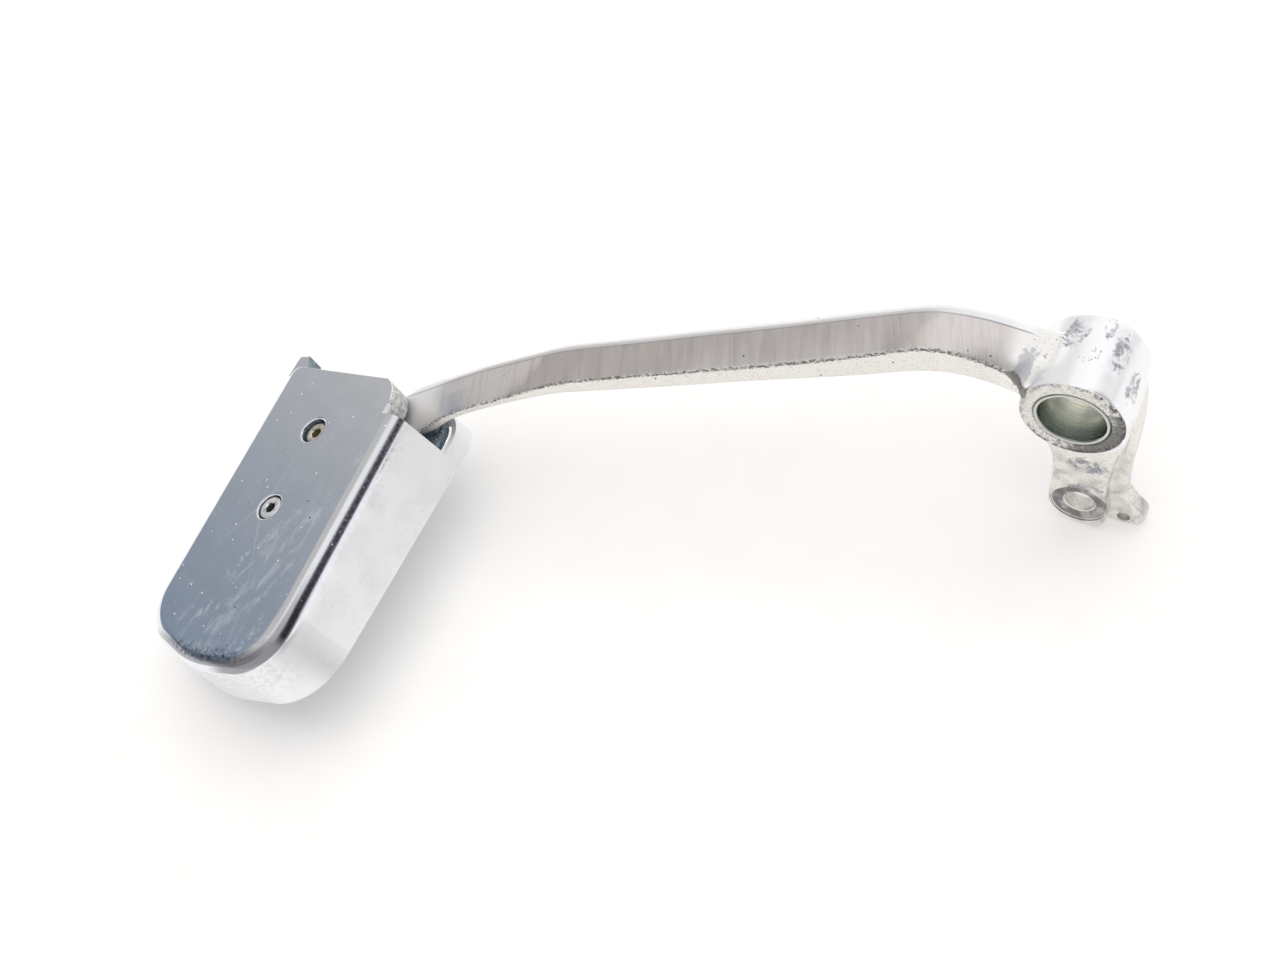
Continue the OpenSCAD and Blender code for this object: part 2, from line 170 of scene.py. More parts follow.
def applied(obj, kind, **values):
    mod = obj.modifiers.new(kind.lower(), kind)
    for key, value in values.items():
        setattr(mod, key, value)
    only(obj)
    bpy.ops.object.modifier_apply(modifier=mod.name)


def smooth(obj, angle=35):
    only(obj)
    bpy.ops.object.shade_smooth_by_angle(angle=radians(angle))


def inset(outline, by):
    """Outline moved inwards by a distance; points run counter-clockwise."""
    out = []
    for k, (x, y) in enumerate(outline):
        before, after = Vector(outline[k - 1]), Vector(outline[(k + 1) % len(outline)])
        along = (after - before).normalized()
        out.append((x - along.y * by, y + along.x * by))
    return out


def ccw(outline):
    """The outline, run counter-clockwise."""
    area = sum(a[0] * b[1] - b[0] * a[1] for a, b in zip(outline, outline[1:] + outline[:1]))
    return outline if area > 0 else outline[::-1]


def curved(points, per=6):
    """Closed smooth outline through the points."""
    out, n = [], len(points)
    for k in range(n):
        a, b, c, d = (Vector(points[(k + s) % n]) for s in (-1, 0, 1, 2))
        for i in range(per):
            t = i / per
            p = 0.5 * (2 * b + (c - a) * t + (2 * a - 5 * b + 4 * c - d) * t * t
                       + (3 * b - a - 3 * c + d) * t ** 3)
            out.append((p.x, p.y))
    return out


def plate(name, outline, y0, y1, edge=0.5, to_xyz=lambda x, z, y: (x, y, z)):
    """Plate with rounded edges between two levels."""
    shape = ccw(outline)
    levels = [(edge * (1 - sin(radians(g))), edge * (1 - cos(radians(g)))) for g in (0, 30, 60, 90)]
    rings = [(i, y0 + d) for i, d in levels] + [(i, y1 - d) for i, d in reversed(levels)]
    return lofted(name, [[to_xyz(x, z, y) for x, z in inset(shape, i)] for i, y in rings])


def in_pad(x, y, z):
    """A point of the cover's own frame."""
    return tuple(PAD @ Vector((x, y, z)))


# The cast arm

def spline(s, k, t):
    """Smooth curve through the rows of s, at the share t of the way from row k to the next."""
    a, b, c, d = s[max(k - 1, 0)], s[k], s[k + 1], s[min(k + 2, len(s) - 1)]
    return [0.5 * (2 * q + (r - p) * t + (2 * p - 5 * q + 4 * r - u) * t * t
                   + (3 * q - p - 3 * r + u) * t ** 3) for p, q, r, u in zip(a, b, c, d)]


def ease(a, b, x):
    """Soft step from 0 at a to 1 at b."""
    t = min(max((x - a) / (b - a), 0), 1)
    return t * t * (3 - 2 * t)


def near_y(x):
    """Place of the arm's near side: straight, then swept over to the pad."""
    d = max(CRANK_START - x, 0)
    k = CRANK_OUT / (CRANK_START - CRANK_END - CRANK_BLEND / 2)
    return ARM_INSET - (k * d * d / (2 * CRANK_BLEND) if d < CRANK_BLEND else k * (d - CRANK_BLEND / 2))


def arm_ring(station):
    """Section of the arm: near side, flat top, bevel, far side and rounded underside."""
    x, z, drop, side, w = station
    y, zn, r, u = near_y(x), z - drop, NEAR_ROUND, UNDER
    zb = zn - side
    low = min(zb, z - EDGE_H - 0.4)
    ring = [(x, y + r * (1 - cos(radians(g))), zn - r * (1 - sin(radians(g)))) for g in (0, 30, 60, 90)]
    near, tail = ease(-17, -14, x), ease(-158, -170, x)
    shares = ((2, 0.8 - 0.3 * near + 0.05 * tail), (4.5, 0.5 - 0.3 * near + 0.16 * tail),
              (8, 0.2 - 0.15 * near + 0.2 * tail))
    ring += [(x, y + a, z - drop * f) for a, f in shares]
    ring += [(x, y + w + EDGE_W * cos(radians(g)), z - EDGE_H * (1 - sin(radians(g))))
             for g in range(90, -1, -10)]
    ring += [(x, y + w + EDGE_W, low), (x, y + w + EDGE_W - 0.8, low - 1.4),
             (x, y + w + EDGE_W - u, low - u), (x, y + w / 2, (low + zb) / 2 - u),
             (x, y + u, zb - u), (x, y + 0.8, zb - 1.4), (x, y, zb)]
    return ring


def arm_loft():
    per = 8  # rings between two stations
    rings = [arm_ring(spline(STATIONS, k, i / per))
             for k in range(len(STATIONS) - 1) for i in range(per)]
    return lofted("arm_loft", rings + [arm_ring(STATIONS[-1])])


ROD_LUG = [(-10.5, -4), (-8.6, -10.2), (-5.6, -14.2), (-3.8, -18), (-3, -23), (-2.6, -30),
           (-2.6, -38), (-2.2, -41.2), (-0.8, -43.8), (1.6, -45.6), (5, -46.7), (9, -47),
           (11.4, -47), (13, -45.6), (13.7, -42.5), (13.3, -38), (12.4, -33), (12.2, -24),
           (12.8, -13), (13.6, -4), (0, 0)]
SPRING_LUG = [(8, -4), (14.9, -6), (16.4, -14), (16.6, -22), (16.4, -28), (16.8, -33),
              (17.8, -36.4), (20.2, -39.6), (22.5, -42), (23.5, -44), (23, -46.2), (21.2, -47.7),
              (18.5, -48.2), (13, -48.2), (11.4, -45.4), (11, -34), (8.4, -27)]


def web():
    """Tapering rib from the inboard part of the boss down to the spring lug."""
    y0, steps = FACE_STEP + ROD_T, 12
    right = [(11.6, 6, 22.2), (13.5, 0, 22.2), (15.2, -6, 20.6), (16.2, -12, 18),
             (16.5, -18, 14.9), (16.5, -24, 12.2), (16.9, -31, 11.1), (17.1, -36, 11)]
    rings = []
    for k in range(len(right) - 1):
        for i in range(steps):
            x, z, y1 = spline(right, k, i / steps)
            left = -7.75 + 16.25 * min(max((10 - z) / 34, 0), 1) ** 1.2
            left = max(left, 11) if z < -30 else left
            rings.append([(left, y0, z), (x, y0, z), (x, y1 - 1, z), (x - 0.4, y1 - 0.3, z),
                          (x - 1.2, y1, z), (left, y1, z)])
    return lofted("web", rings)


def paddle():
    """Flat end of the arm inside the cover."""
    h = PADDLE_HALF
    shape = [(41.5, 19.5), (41.5, 31.5), (38, 31), (28, 28), (19, 23), (15, 18), (SCREW_X - h, 12)]
    shape += [(SCREW_X + h * cos(a), TIP_Y + h * sin(a)) for a in
              (radians(g) for g in range(180, 361, 15))]
    shape += [(SCREW_X + h, 9), (34, 14.5), (40, 18.5)]
    low = -PADDLE_TOP - PADDLE_T
    return plate("paddle", shape, low, -PADDLE_TOP, 0.6, in_pad)


def foot():
    """Cast plate under the flat end, in the root half of the cover."""
    w = WALL + FOOT_GAP
    lean = (PADDLE_TOP + PADDLE_T - SIDE_ROLL) / (COVER_DEPTH - SIDE_ROLL)
    left, right = COVER_LEFT - FLARE_LEFT * lean + w, COVER_RIGHT + FLARE_RIGHT * lean - w
    r_left, r_right, r_far = MID_ROUNDS
    whole = cover_outline(left, right, COVER_TIP + w, COVER_FAR + FLARE_FAR * lean - w,
                          r_left - w, r_right - w, r_far + 1.5 - w)
    shape = [p for p in whole if p[1] > FOOT_TIP] + [(right, FOOT_TIP), (left, FOOT_TIP)]
    middle = Vector((SCREW_X, 5))
    shape.sort(key=lambda p: atan2(p[1] - middle.y, p[0] - middle.x))
    low = -PADDLE_TOP - PADDLE_T - FOOT_T
    return plate("foot", shape, low, low + FOOT_T + 0.5, 0.5, in_pad)


def soften_root(body):
    """Smooth the saddle between the arm and the boss."""
    group = body.vertex_groups.new(name="root")
    for v in body.data.vertices:
        x, y, z = v.co / MM
        w = ease(-25, -17, x) * ease(2, -5, x) * ease(0.8, 3, y) * ease(-2, 3, z) * ease(18, 13, y)
        if w > 0.01:
            group.add([v.index], w, "REPLACE")
    applied(body, "SMOOTH", factor=0.5, iterations=90, vertex_group="root")


def casting():
    """Boss, lugs, web, arm and flat end in one smoothed body, then its holes."""
    boss = turned("boss", [(BOSS_R - 0.4, 0), (BOSS_R, 0.4)] + [
        (BOSS_R - 1.8 + 1.8 * cos(radians(a)), BOSS_LEN - 1.8 + 1.8 * sin(radians(a)))
        for a in range(0, 91, 10)])
    lug_a = plate("rod_lug", curved(ROD_LUG), FACE_STEP, FACE_STEP + ROD_T)
    lug_b = plate("spring_lug", curved(SPRING_LUG), FACE_STEP + ROD_T - 1,
                  FACE_STEP + ROD_T + SPRING_T)
    body = joined("arm_casting", boss, lug_a, lug_b, web(), arm_loft(), paddle(), foot())
    applied(body, "REMESH", mode="VOXEL", voxel_size=0.47 * MM)
    applied(body, "SMOOTH", factor=0.5, iterations=6)
    soften_root(body)
    applied(body, "DECIMATE", ratio=0.65)
    bore = [(BUSH_R + 0.9, -1), (BUSH_R + 0.4, -0.05), (BUSH_R + 0.05, 0.35),
            (BUSH_R + 0.02, BOSS_LEN - 0.6), (BUSH_R + 0.7, BOSS_LEN + 0.1), (BUSH_R + 1, BOSS_LEN + 1)]
    combine(body, turned("bore", bore), "DIFFERENCE")
    x, z, r = ROD_HOLE
    combine(body, turned("rod_hole", [(r + 1, -0.2), (r + 1, 1.4), (r, 2.1), (r, 6.2), (r + 0.8, 8)],
                         72, x, z), "DIFFERENCE")
    combine(body, turned("spot", [(SPOT_R, 0), (SPOT_R, 1.5), (SPOT_R - 0.3, 1.7)], 96, x, z), "DIFFERENCE")
    x, z, r = SPRING_HOLE
    combine(body, turned("spring_hole", [(r, 1), (r, 20)], 48, x, z), "DIFFERENCE")
    for y in (ROOT_Y, TIP_Y):
        levels = [(TAP_R, -PADDLE_TOP - PADDLE_T), (TAP_R, 1 - PADDLE_TOP)]
        combine(body, pad_turned("tap", SCREW_X, y, levels, 36), "DIFFERENCE")
    smooth(body, 40)
    return body


# The pad cover

def corner(p, c, q, r, n=16):
    """Arc of radius r that rounds the corner c between p and q."""
    p, c, q = Vector(p), Vector(c), Vector(q)
    a, b = (p - c).normalized(), (q - c).normalized()
    half = acos(max(-1, min(1, a.dot(b)))) / 2
    o = c + (a + b).normalized() * (r / sin(half))
    s, e = c + a * (r / tan(half)) - o, c + b * (r / tan(half)) - o
    g, turn = atan2(s.y, s.x), atan2(e.y, e.x) - atan2(s.y, s.x)
    turn = turn - 2 * pi if turn > pi else turn + 2 * pi if turn < -pi else turn
    return [(o.x + r * cos(g + turn * i / n), o.y + r * sin(g + turn * i / n)) for i in range(n + 1)]


def cover_outline(left, right, tip, far, r_left, r_right, r_far):
    """Outline of the cover at one level: six corners, each with its round."""
    corners = [(left, far, r_far), (left, tip + 7.4, r_left), (24, tip - 1.6, 40),
               (right - 2, tip + 0.5, r_right), (right, tip + 16, 40), (right, far - 3.6, r_far + 4)]
    out = []
    for k, (x, y, r) in enumerate(corners):
        out += corner(corners[k - 1][:2], (x, y), corners[(k + 1) % len(corners)][:2], r)
    return out


def rim_z(y):
    """Level of the rim, which lies flat on the floor while the top face slopes."""
    return -COVER_DEPTH - y * tan(radians(PAD_FALL))


def cover_levels(w, top, steps):
    """Rings from the rim to the top face, pulled in by the wall w."""
    mid = cover_outline(COVER_LEFT + w, COVER_RIGHT - w, COVER_TIP + w, COVER_FAR - w,
                        *(r - w for r in MID_ROUNDS))
    rim = cover_outline(COVER_LEFT - FLARE_LEFT + w, COVER_RIGHT + FLARE_RIGHT - w, COVER_TIP + w,
                        COVER_FAR + FLARE_FAR - w, *(r - w for r in RIM_ROUNDS))
    flat = cover_outline(COVER_LEFT + LEFT_ROLL, COVER_RIGHT - SIDE_ROLL, COVER_TIP + SIDE_ROLL,
                         COVER_FAR - FAR_ROLL, *TOP_ROUNDS)
    rings = []
    for share in (0, 0.02, 0.35, 0.7):
        ring = []
        for (ax, ay), (bx, by) in zip(rim, mid):
            z0, x, y = rim_z(ay), ax + (bx - ax) * share, ay + (by - ay) * share
            ring.append((x, y, z0 + (-SIDE_ROLL - z0) * share))
        rings.append(ring)
    for k in range(steps + 1):
        g = radians(90 * k / steps)
        rings.append([(ax + (bx - ax) * cos(g), ay + (by - ay) * cos(g),
                       -top - (SIDE_ROLL - top) * (1 - sin(g)))
                      for (ax, ay), (bx, by) in zip(flat, mid)])
    return rings


def pad_prism(name, outline, z0, z1):
    """Prism in the cover's frame."""
    return lofted(name, [[in_pad(x, y, z) for x, y in outline] for z in (z0, z1)])


def pad_turned(name, x, y, profile, steps=72):
    """Body turned about a line square to the cover's top face."""
    ring = circle(steps)
    return lofted(name, [[in_pad(x + r * c, y + r * s, z) for c, s in ring] for r, z in profile])


def notch_arc(w, reach=30):
    """Round corner over the notch, pulled in by w."""
    x, y = CORNER_X - w, CORNER_FAR - w
    return corner((x, NOTCH_NEAR), (x, y), (CORNER_X - reach, y), CORNER_ROUND - w, 12)


def cut_notch(shell, clear=40):
    """Cut the notch for the arm and build the round wall over it."""
    x0, y0 = CORNER_X - CORNER_ROUND, NOTCH_NEAR
    x1, y1 = x0 + clear, y0 + clear
    beyond = [(x1, y0), (x1, y1), (x0, y1), (x0, CORNER_FAR)] + notch_arc(0)[::-1][1:] + [(CORNER_X, y0)]
    combine(shell, pad_prism("cut_back", beyond, -NOTCH_LOW, 2), "DIFFERENCE")
    box = [(x0, y0), (x1, y0), (x1, y1), (x0, y1)]
    combine(shell, pad_prism("opening", box, -NOTCH_LOW, -NOTCH_TOP), "DIFFERENCE")
    wall = [(CORNER_X, y0)] + notch_arc(0) + notch_arc(WALL)[::-1] + [(CORNER_X - WALL, y0)]
    combine(shell, pad_prism("corner_wall", wall, -NOTCH_TOP, -1))


def cover():
    """Shell lofted outside and inside, with the notch, a small ear at the back and two screw seats."""
    outer, inner = cover_levels(0, 0, 12), cover_levels(WALL, COVER_T, 6)
    lip = [[((a[0] + b[0]) / 2, (a[1] + b[1]) / 2, (a[2] + b[2]) / 2 - 0.12)
            for a, b in zip(outer[0], inner[0])]]
    rings = inner[::-1] + lip + outer
    shell = lofted("cover_shell", [[in_pad(*p) for p in ring] for ring in rings])
    cut_notch(shell)
    ear = [(-0.4, 32), (6.6, 32), (6.6, 33), (3.6, 38.8), (3.1, 39), (0.6, 38.8), (-0.2, 38), (-0.4, 33)]
    combine(shell, pad_prism("ear", curved(ear, 4), -6, -0.4))
    for y, sink in ((ROOT_Y, ROOT_SINK), (TIP_Y, TIP_SINK)):
        combine(shell, pad_turned("post", SCREW_X, y, [(POST_R, -PADDLE_TOP), (POST_R, -1)]))
        floor_z, r = -sink - HEAD_H, SEAT_R
        seat = [(SHANK_HOLE_R, -PADDLE_TOP - 1), (SHANK_HOLE_R, floor_z), (r, floor_z), (r, -0.5),
                (r + 0.1, -0.3), (r + 0.3, -0.12), (r + 0.6, 0), (r + 1.1, 0.4)]
        combine(shell, pad_turned("seat", SCREW_X, y, seat), "DIFFERENCE")
    smooth(shell, 38)
    applied(shell, "WEIGHTED_NORMAL", weight=50, keep_sharp=True)
    return shell


def mark_inside(shell, index):
    """Give the faces that look at the cover's middle line another material."""
    to_pad = PAD.inverted()
    for face in shell.data.polygons:
        at = to_pad @ (face.center / MM)
        middle = Vector((25, min(max(at.y, -36), 18), -13))
        out = to_pad.to_3x3() @ face.normal
        if (at - middle).dot(out) < 0 and out.z < 0.5:
            face.material_index = index


# Bush and screws

def bush():
    """Plain bush with chamfered ends."""
    r, b, n = BUSH_R, BORE_R, BUSH_LEN
    tube = turned("bush_ring", [(r - 0.25, 0.02), (r, 0.3), (r, n - 0.3), (r - 0.25, n)], 160)
    combine(tube, turned("hole", [(b + 0.6, -0.3), (b + 0.35, 0), (b + 0.08, 0.35), (b, 0.7),
                                  (b, n - 0.7), (b + 0.35, n), (b + 0.6, n + 0.3)], 160), "DIFFERENCE")
    smooth(tube, 40)
    return tube


def cap_screw(name, y, sink):
    """Cap screw with a hexagon socket, in the cover's frame."""
    top, r = -sink, HEAD_R
    head = pad_turned(name, SCREW_X, y, [
        (SCREW_R - 0.4, top - SCREW_LEN + sink), (SCREW_R, top - SCREW_LEN + sink + 0.5),
        (SCREW_R, top - HEAD_H - 0.2), (SCREW_R + 0.2, top - HEAD_H), (r - 0.1, top - HEAD_H),
        (r, top - HEAD_H + 0.1), (r, top - 0.45), (r - 0.12, top - 0.2), (r - 0.4, top - 0.04),
        (r - 0.7, top), (1.95, top)])
    across = KEY_WIDTH / 2 / cos(radians(30))
    hexagon = [(SCREW_X + across * cos(radians(a)), y + across * sin(radians(a)))
               for a in range(12, 372, 60)]
    combine(head, pad_prism("socket", hexagon, top - KEY_DEPTH, top + 1), "DIFFERENCE")
    combine(head, pad_turned("mouth", SCREW_X, y, [(1.35, top - 0.42), (1.95, top + 0.03),
                                                   (2.1, top + 0.5)], 48), "DIFFERENCE")
    smooth(head, 35)
    return head


arm = casting()
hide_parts("pedal_arm")
shell = cover()
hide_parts("pad_cover")
ring = bush()
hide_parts("pivot_bush")
root_screw = cap_screw("screw_root", ROOT_Y, ROOT_SINK)
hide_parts("pad_screw_root")
tip_screw = cap_screw("screw_tip", TIP_Y, TIP_SINK)
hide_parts("pad_screw_tip")
for piece in (arm, shell, ring, root_screw, tip_screw):
    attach(piece, "root")


# Finishes: shared helpers and effects

def node(tree, kind, links=(), **values):
    """Add a node; links pairs each input with a value or with another node's output."""
    made = tree.nodes.new("ShaderNode" + kind)
    for key, value in values.items():
        setattr(made, key, value)
    for key, value in links:
        if isinstance(value, bpy.types.NodeSocket):
            tree.links.new(value, made.inputs[key])
        else:
            made.inputs[key].default_value = value
    return made


def maths(tree, how, a, b=0.0):
    return node(tree, "Math", ((0, a), (1, b)), operation=how).outputs[0]


def times(tree, *values):
    """Product of masks: 1 only where all of them are 1."""
    out = values[0]
    for value in values[1:]:
        out = maths(tree, "MULTIPLY", out, value)
    return out


def total(tree, *values):
    out = values[0]
    for value in values[1:]:
        out = maths(tree, "ADD", out, value)
    return out


def any_of(tree, *masks):
    out = masks[0]
    for mask in masks[1:]:
        out = maths(tree, "MAXIMUM", out, mask)
    return out


def less(tree, a, b):
    return maths(tree, "SUBTRACT", a, b)


def ramp(tree, value, start, end, low=0.0, high=1.0):
    """Soft step from low to high while the value goes from start to end."""
    links = ((0, value), (1, start), (2, end), (3, low), (4, high))
    return node(tree, "MapRange", links, interpolation_type="SMOOTHSTEP").outputs[0]


def within(tree, value, low, high, soft):
    """1 between low and high, fading over soft outside them."""
    return times(tree, ramp(tree, value, low - soft, low), ramp(tree, value, high + soft, high))


def split(tree, vector):
    return node(tree, "SeparateXYZ", ((0, vector),)).outputs


def distance(tree, a, b):
    """Length of the flat vector a, b."""
    flat = node(tree, "CombineXYZ", ((0, a), (1, b))).outputs[0]
    return node(tree, "VectorMath", ((0, flat),), operation="LENGTH").outputs["Value"]


def tint(tree, share, under, over):
    links = ((0, share), (6, under), (7, over))
    return node(tree, "Mix", links, data_type="RGBA", blend_type="MIX").outputs[2]


def noise(tree, vector, scale, detail=2.0, distortion=0.0):
    links = (("Vector", vector), ("Scale", scale), ("Detail", detail), ("Distortion", distortion))
    return node(tree, "TexNoise", links).outputs[0]


def stretched(tree, vector, scale, turn=(0, 0, 0)):
    """The vector turned, then scaled along the new axes."""
    turned_to = node(tree, "Mapping", ((0, vector), (2, turn))).outputs[0]
    return node(tree, "Mapping", ((0, turned_to), (3, scale))).outputs[0]


class Coat:
    """A colour built up in layers, each laid over the last where all its masks are 1."""

    def __init__(self, tree, color):
        self.tree, self.color = tree, color

    def lay(self, color, *masks):
        self.color = tint(self.tree, times(self.tree, *masks), self.color, color)


def effect(name, *inputs):
    """New effect with a Vector input, the given ones, and one Mask output."""
    group = bpy.data.node_groups.new(name, "ShaderNodeTree")
    for label, kind, value in (("Vector", "Vector", (0, 0, 0)), *inputs):
        made = group.interface.new_socket(label, in_out="INPUT", socket_type="NodeSocket" + kind)
        made.default_value = value
    group.interface.new_socket("Mask", in_out="OUTPUT", socket_type="NodeSocketFloat")
    return group, group.nodes.new("NodeGroupInput").outputs, group.nodes.new("NodeGroupOutput").inputs


def use(tree, group, **values):
    """Place an effect; each named input gets a value or a node's output."""
    placed = tree.nodes.new("ShaderNodeGroup")
    placed.node_tree = group
    for key, value in values.items():
        if isinstance(value, bpy.types.NodeSocket):
            tree.links.new(value, placed.inputs[key])
        else:
            placed.inputs[key].default_value = value
    return placed.outputs[0]


def make_scratches():
    """Thin broken lines in three directions."""
    tree, given, out = effect("fine_scratches", ("Scale", "Float", 1), ("Width", "Float", 0.02))
    masks = []
    for turn, flatness in ((0.35, 0.05), (-0.8, 0.04), (1.9, 0.07)):
        lines = stretched(tree, given["Vector"], (1, flatness, 1), (0, 0, turn))
        value = noise(tree, lines, given["Scale"], 0)
        off = maths(tree, "ABSOLUTE", less(tree, value, 0.5))
        part = less(tree, 1, maths(tree, "DIVIDE", off, given["Width"]))
        masks.append(maths(tree, "MAXIMUM", part, 0))
    gaps = ramp(tree, noise(tree, given["Vector"], 0.11, 3), 0.48, 0.62)
    tree.links.new(times(tree, any_of(tree, *masks), gaps), out[0])
    return tree


def make_specks():
    """Small round spots in a share of the cells."""
    tree, given, out = effect("specks", ("Scale", "Float", 1), ("Share", "Float", 0.1),
                              ("Size", "Float", 0.15))
    cells = node(tree, "TexVoronoi", (("Vector", given["Vector"]), ("Scale", given["Scale"])))
    inside = maths(tree, "LESS_THAN", cells.outputs["Distance"], given["Size"])
    chance = node(tree, "SeparateColor", ((0, cells.outputs["Color"]),)).outputs[0]
    picked = maths(tree, "LESS_THAN", chance, given["Share"])
    tree.links.new(times(tree, inside, picked), out[0])
    return tree


def make_smudges():
    """Cloudy areas with ragged edges."""
    tree, given, out = effect("smudges", ("Scale", "Float", 1), ("Level", "Float", 0.5),
                              ("Softness", "Float", 0.1))
    cloud = noise(tree, given["Vector"], given["Scale"], 7, 0.6)
    over = less(tree, cloud, given["Level"])
    share = node(tree, "Math", ((0, over), (1, given["Softness"])), operation="DIVIDE", use_clamp=True)
    tree.links.new(share.outputs[0], out[0])
    return tree


def make_patch():
    """One patch about a centre; the grain, a noise, makes its edge ragged."""
    tree, given, out = effect("stain_patch", ("Center", "Vector", (0, 0, 0)),
                              ("Size", "Vector", (1, 1, 1)), ("Grain", "Float", 0.5),
                              ("Raggedness", "Float", 1))
    off = node(tree, "VectorMath", ((0, given["Vector"]), (1, given["Center"])), operation="SUBTRACT")
    ratio = node(tree, "VectorMath", ((0, off.outputs[0]), (1, given["Size"])), operation="DIVIDE")
    away = node(tree, "VectorMath", ((0, ratio.outputs[0]),), operation="LENGTH").outputs["Value"]
    rough = less(tree, given["Grain"], 0.5)
    edge = total(tree, away, times(tree, rough, given["Raggedness"]))
    tree.links.new(ramp(tree, edge, 1.05, 0.85), out[0])
    return tree


scratches, specks, smudges, patch = make_scratches(), make_specks(), make_smudges(), make_patch()


def patches(tree, at, grain, places):
    """Union of the ragged patches at places: centre, half size and raggedness."""
    return any_of(tree, *(use(tree, patch, Vector=at, Center=center, Size=size, Grain=grain,
                              Raggedness=ragged) for center, size, ragged in places))


def material(name, metallic=1.0):
    mat = bpy.data.materials.new(name)
    mat.use_nodes = True
    shader = mat.node_tree.nodes["Principled BSDF"]
    shader.inputs["Metallic"].default_value = metallic
    return mat, mat.node_tree, shader


def place_mm(tree):
    """Object coordinates in millimetres."""
    at = node(tree, "TexCoord").outputs["Object"]
    return node(tree, "Mapping", ((0, at), (3, (1000, 1000, 1000)))).outputs[0]


def place_pad(tree):
    """Coordinates in the cover's own frame, in millimetres."""
    at = node(tree, "TexCoord").outputs["Object"]
    links = ((0, at), (1, PAD.translation * MM), (2, PAD.to_euler()), (3, (MM, MM, MM)))
    return node(tree, "Mapping", links, vector_type="TEXTURE").outputs[0]


def normal_z(tree):
    """How far a surface faces up, from -1 to 1."""
    return split(tree, node(tree, "TexCoord").outputs["Normal"])[2]


def bumped(tree, shader, height, depth, strength=1.0):
    links = (("Height", height), ("Distance", depth * MM), ("Strength", strength))
    tree.links.new(node(tree, "Bump", links).outputs[0], shader.inputs["Normal"])


def linked(tree, shader, **sockets):
    for key, value in sockets.items():
        tree.links.new(value, shader.inputs[key.replace("_", " ")])


# Finish of the arm

CRANK_TURN = atan2(CRANK_OUT, CRANK_START - CRANK_END - CRANK_BLEND / 2)
SOOT = (0.05, 0.045, 0.045, 1)
# colours of the flat top, from the pad to the boss; the pale flat near the pad, the bevel, the tail and the
# saddle carry painted highlights, the streak beside the saddle and the line along the bevel painted dark
# reflections
POLISHED, DARK_FLAT, PALE_FLAT_HIGHLIGHT = (0.80, 0.76, 0.74, 1), (0.64, 0.61, 0.60, 1), (0.97, 0.94, 0.92, 1)
BROAD_MARK, DARK_MARK, PALE_MARK = (0.52, 0.49, 0.48, 1), (0.50, 0.47, 0.46, 1), (0.95, 0.93, 0.91, 1)
BEVEL_HIGHLIGHT, BEVEL_LINE_REFLECTION, TAIL_HIGHLIGHT = (0.93, 0.93, 0.94, 1), (0.34, 0.32, 0.37, 1), (0.88, 0.87, 0.86, 1)
SADDLE_HIGHLIGHT, SADDLE_DARK_REFLECTION, BOSS_POLISH_AND_HIGHLIGHT = (0.97, 0.965, 0.96, 1), (0.36, 0.38, 0.44, 1), (0.96, 0.96, 0.98, 1)
# colours of the unpolished sides, of dirt, of the lugs' darker bottoms, and of painted shade in the crease,
# along the near edge and on the part inside the cover
AS_CAST, CAST_GRAIN, LUG_LOW_DARK = (0.86, 0.84, 0.80, 1), (0.55, 0.53, 0.50, 1), (0.36, 0.35, 0.34, 1)
STAIN, STAIN_FLECK = (0.25, 0.25, 0.28, 1), (0.58, 0.59, 0.64, 1)
CREASE_SHADE, SPOT_DARK, EDGE_WEAR_AND_SHADE = (0.16, 0.15, 0.14, 1), (0.26, 0.26, 0.26, 1), (0.16, 0.14, 0.13, 1)
HIDDEN_SHADE_DARK, HIDDEN_SHADE_PALE = (0.10, 0.13, 0.16, 1), (0.30, 0.36, 0.41, 1)
# colours of the boss's front ring
RING, RING_CLOUD = (0.84, 0.82, 0.78, 1), (0.48, 0.46, 0.44, 1)
RING_SHADE, RING_FLECK = (0.17, 0.17, 0.165, 1), (0.13, 0.12, 0.11, 1)
# stained places, pits and the painted dark reflection beside the saddle: centre and half size in
# millimetres, raggedness
STAINS = [((-5.3, 17, 12.8), (3.4, 4.5, 3), 1.6), ((2.6, 21, 13.4), (1.6, 3.5, 3), 1.4),
          ((7, 15, 11.9), (2.2, 6, 3), 1.5), ((12, 9, 6.8), (2, 5.5, 4.5), 1.6),
          ((-11.5, 8, 12), (2, 2, 2), 1.8), ((6, 1, -19.5), (5.5, 2, 3), 1.6),
          ((8, 1, -29.5), (4.4, 2, 1.3), 1.6), ((3, 1, -31), (3, 2, 1.5), 1.6)]
BOSS_PITS = [((-7, 14.4, 12.6), (3, 3.5, 3), 1), ((0.4, 11, 13.8), (4, 3.5, 3), 1)]
SADDLE_REFLECTION_PLACES = [((-14.5, 3, 11), (2.2, 6.5, 5), 1.2)]


def edge_place(arm):
    """Store each point's place about the arm's near edge, or a far one for points of the boss."""
    place = arm.data.attributes.new("edge_place", "FLOAT_VECTOR", "POINT")
    for v, item in zip(arm.data.vertices, place.data):
        x, y, z = v.co / MM
        k = 0
        while k < len(STATIONS) - 2 and STATIONS[k + 1][0] > x:
            k += 1
        a, b = STATIONS[k], STATIONS[k + 1]
        t = min(max((x - a[0]) / (b[0] - a[0]), 0), 1)
        top = a[1] - a[2] + (b[1] - b[2] - a[1] + a[2]) * t
        item.vector = (x, y - near_y(x), top - z) if x < -12 else (x, 60, 60)


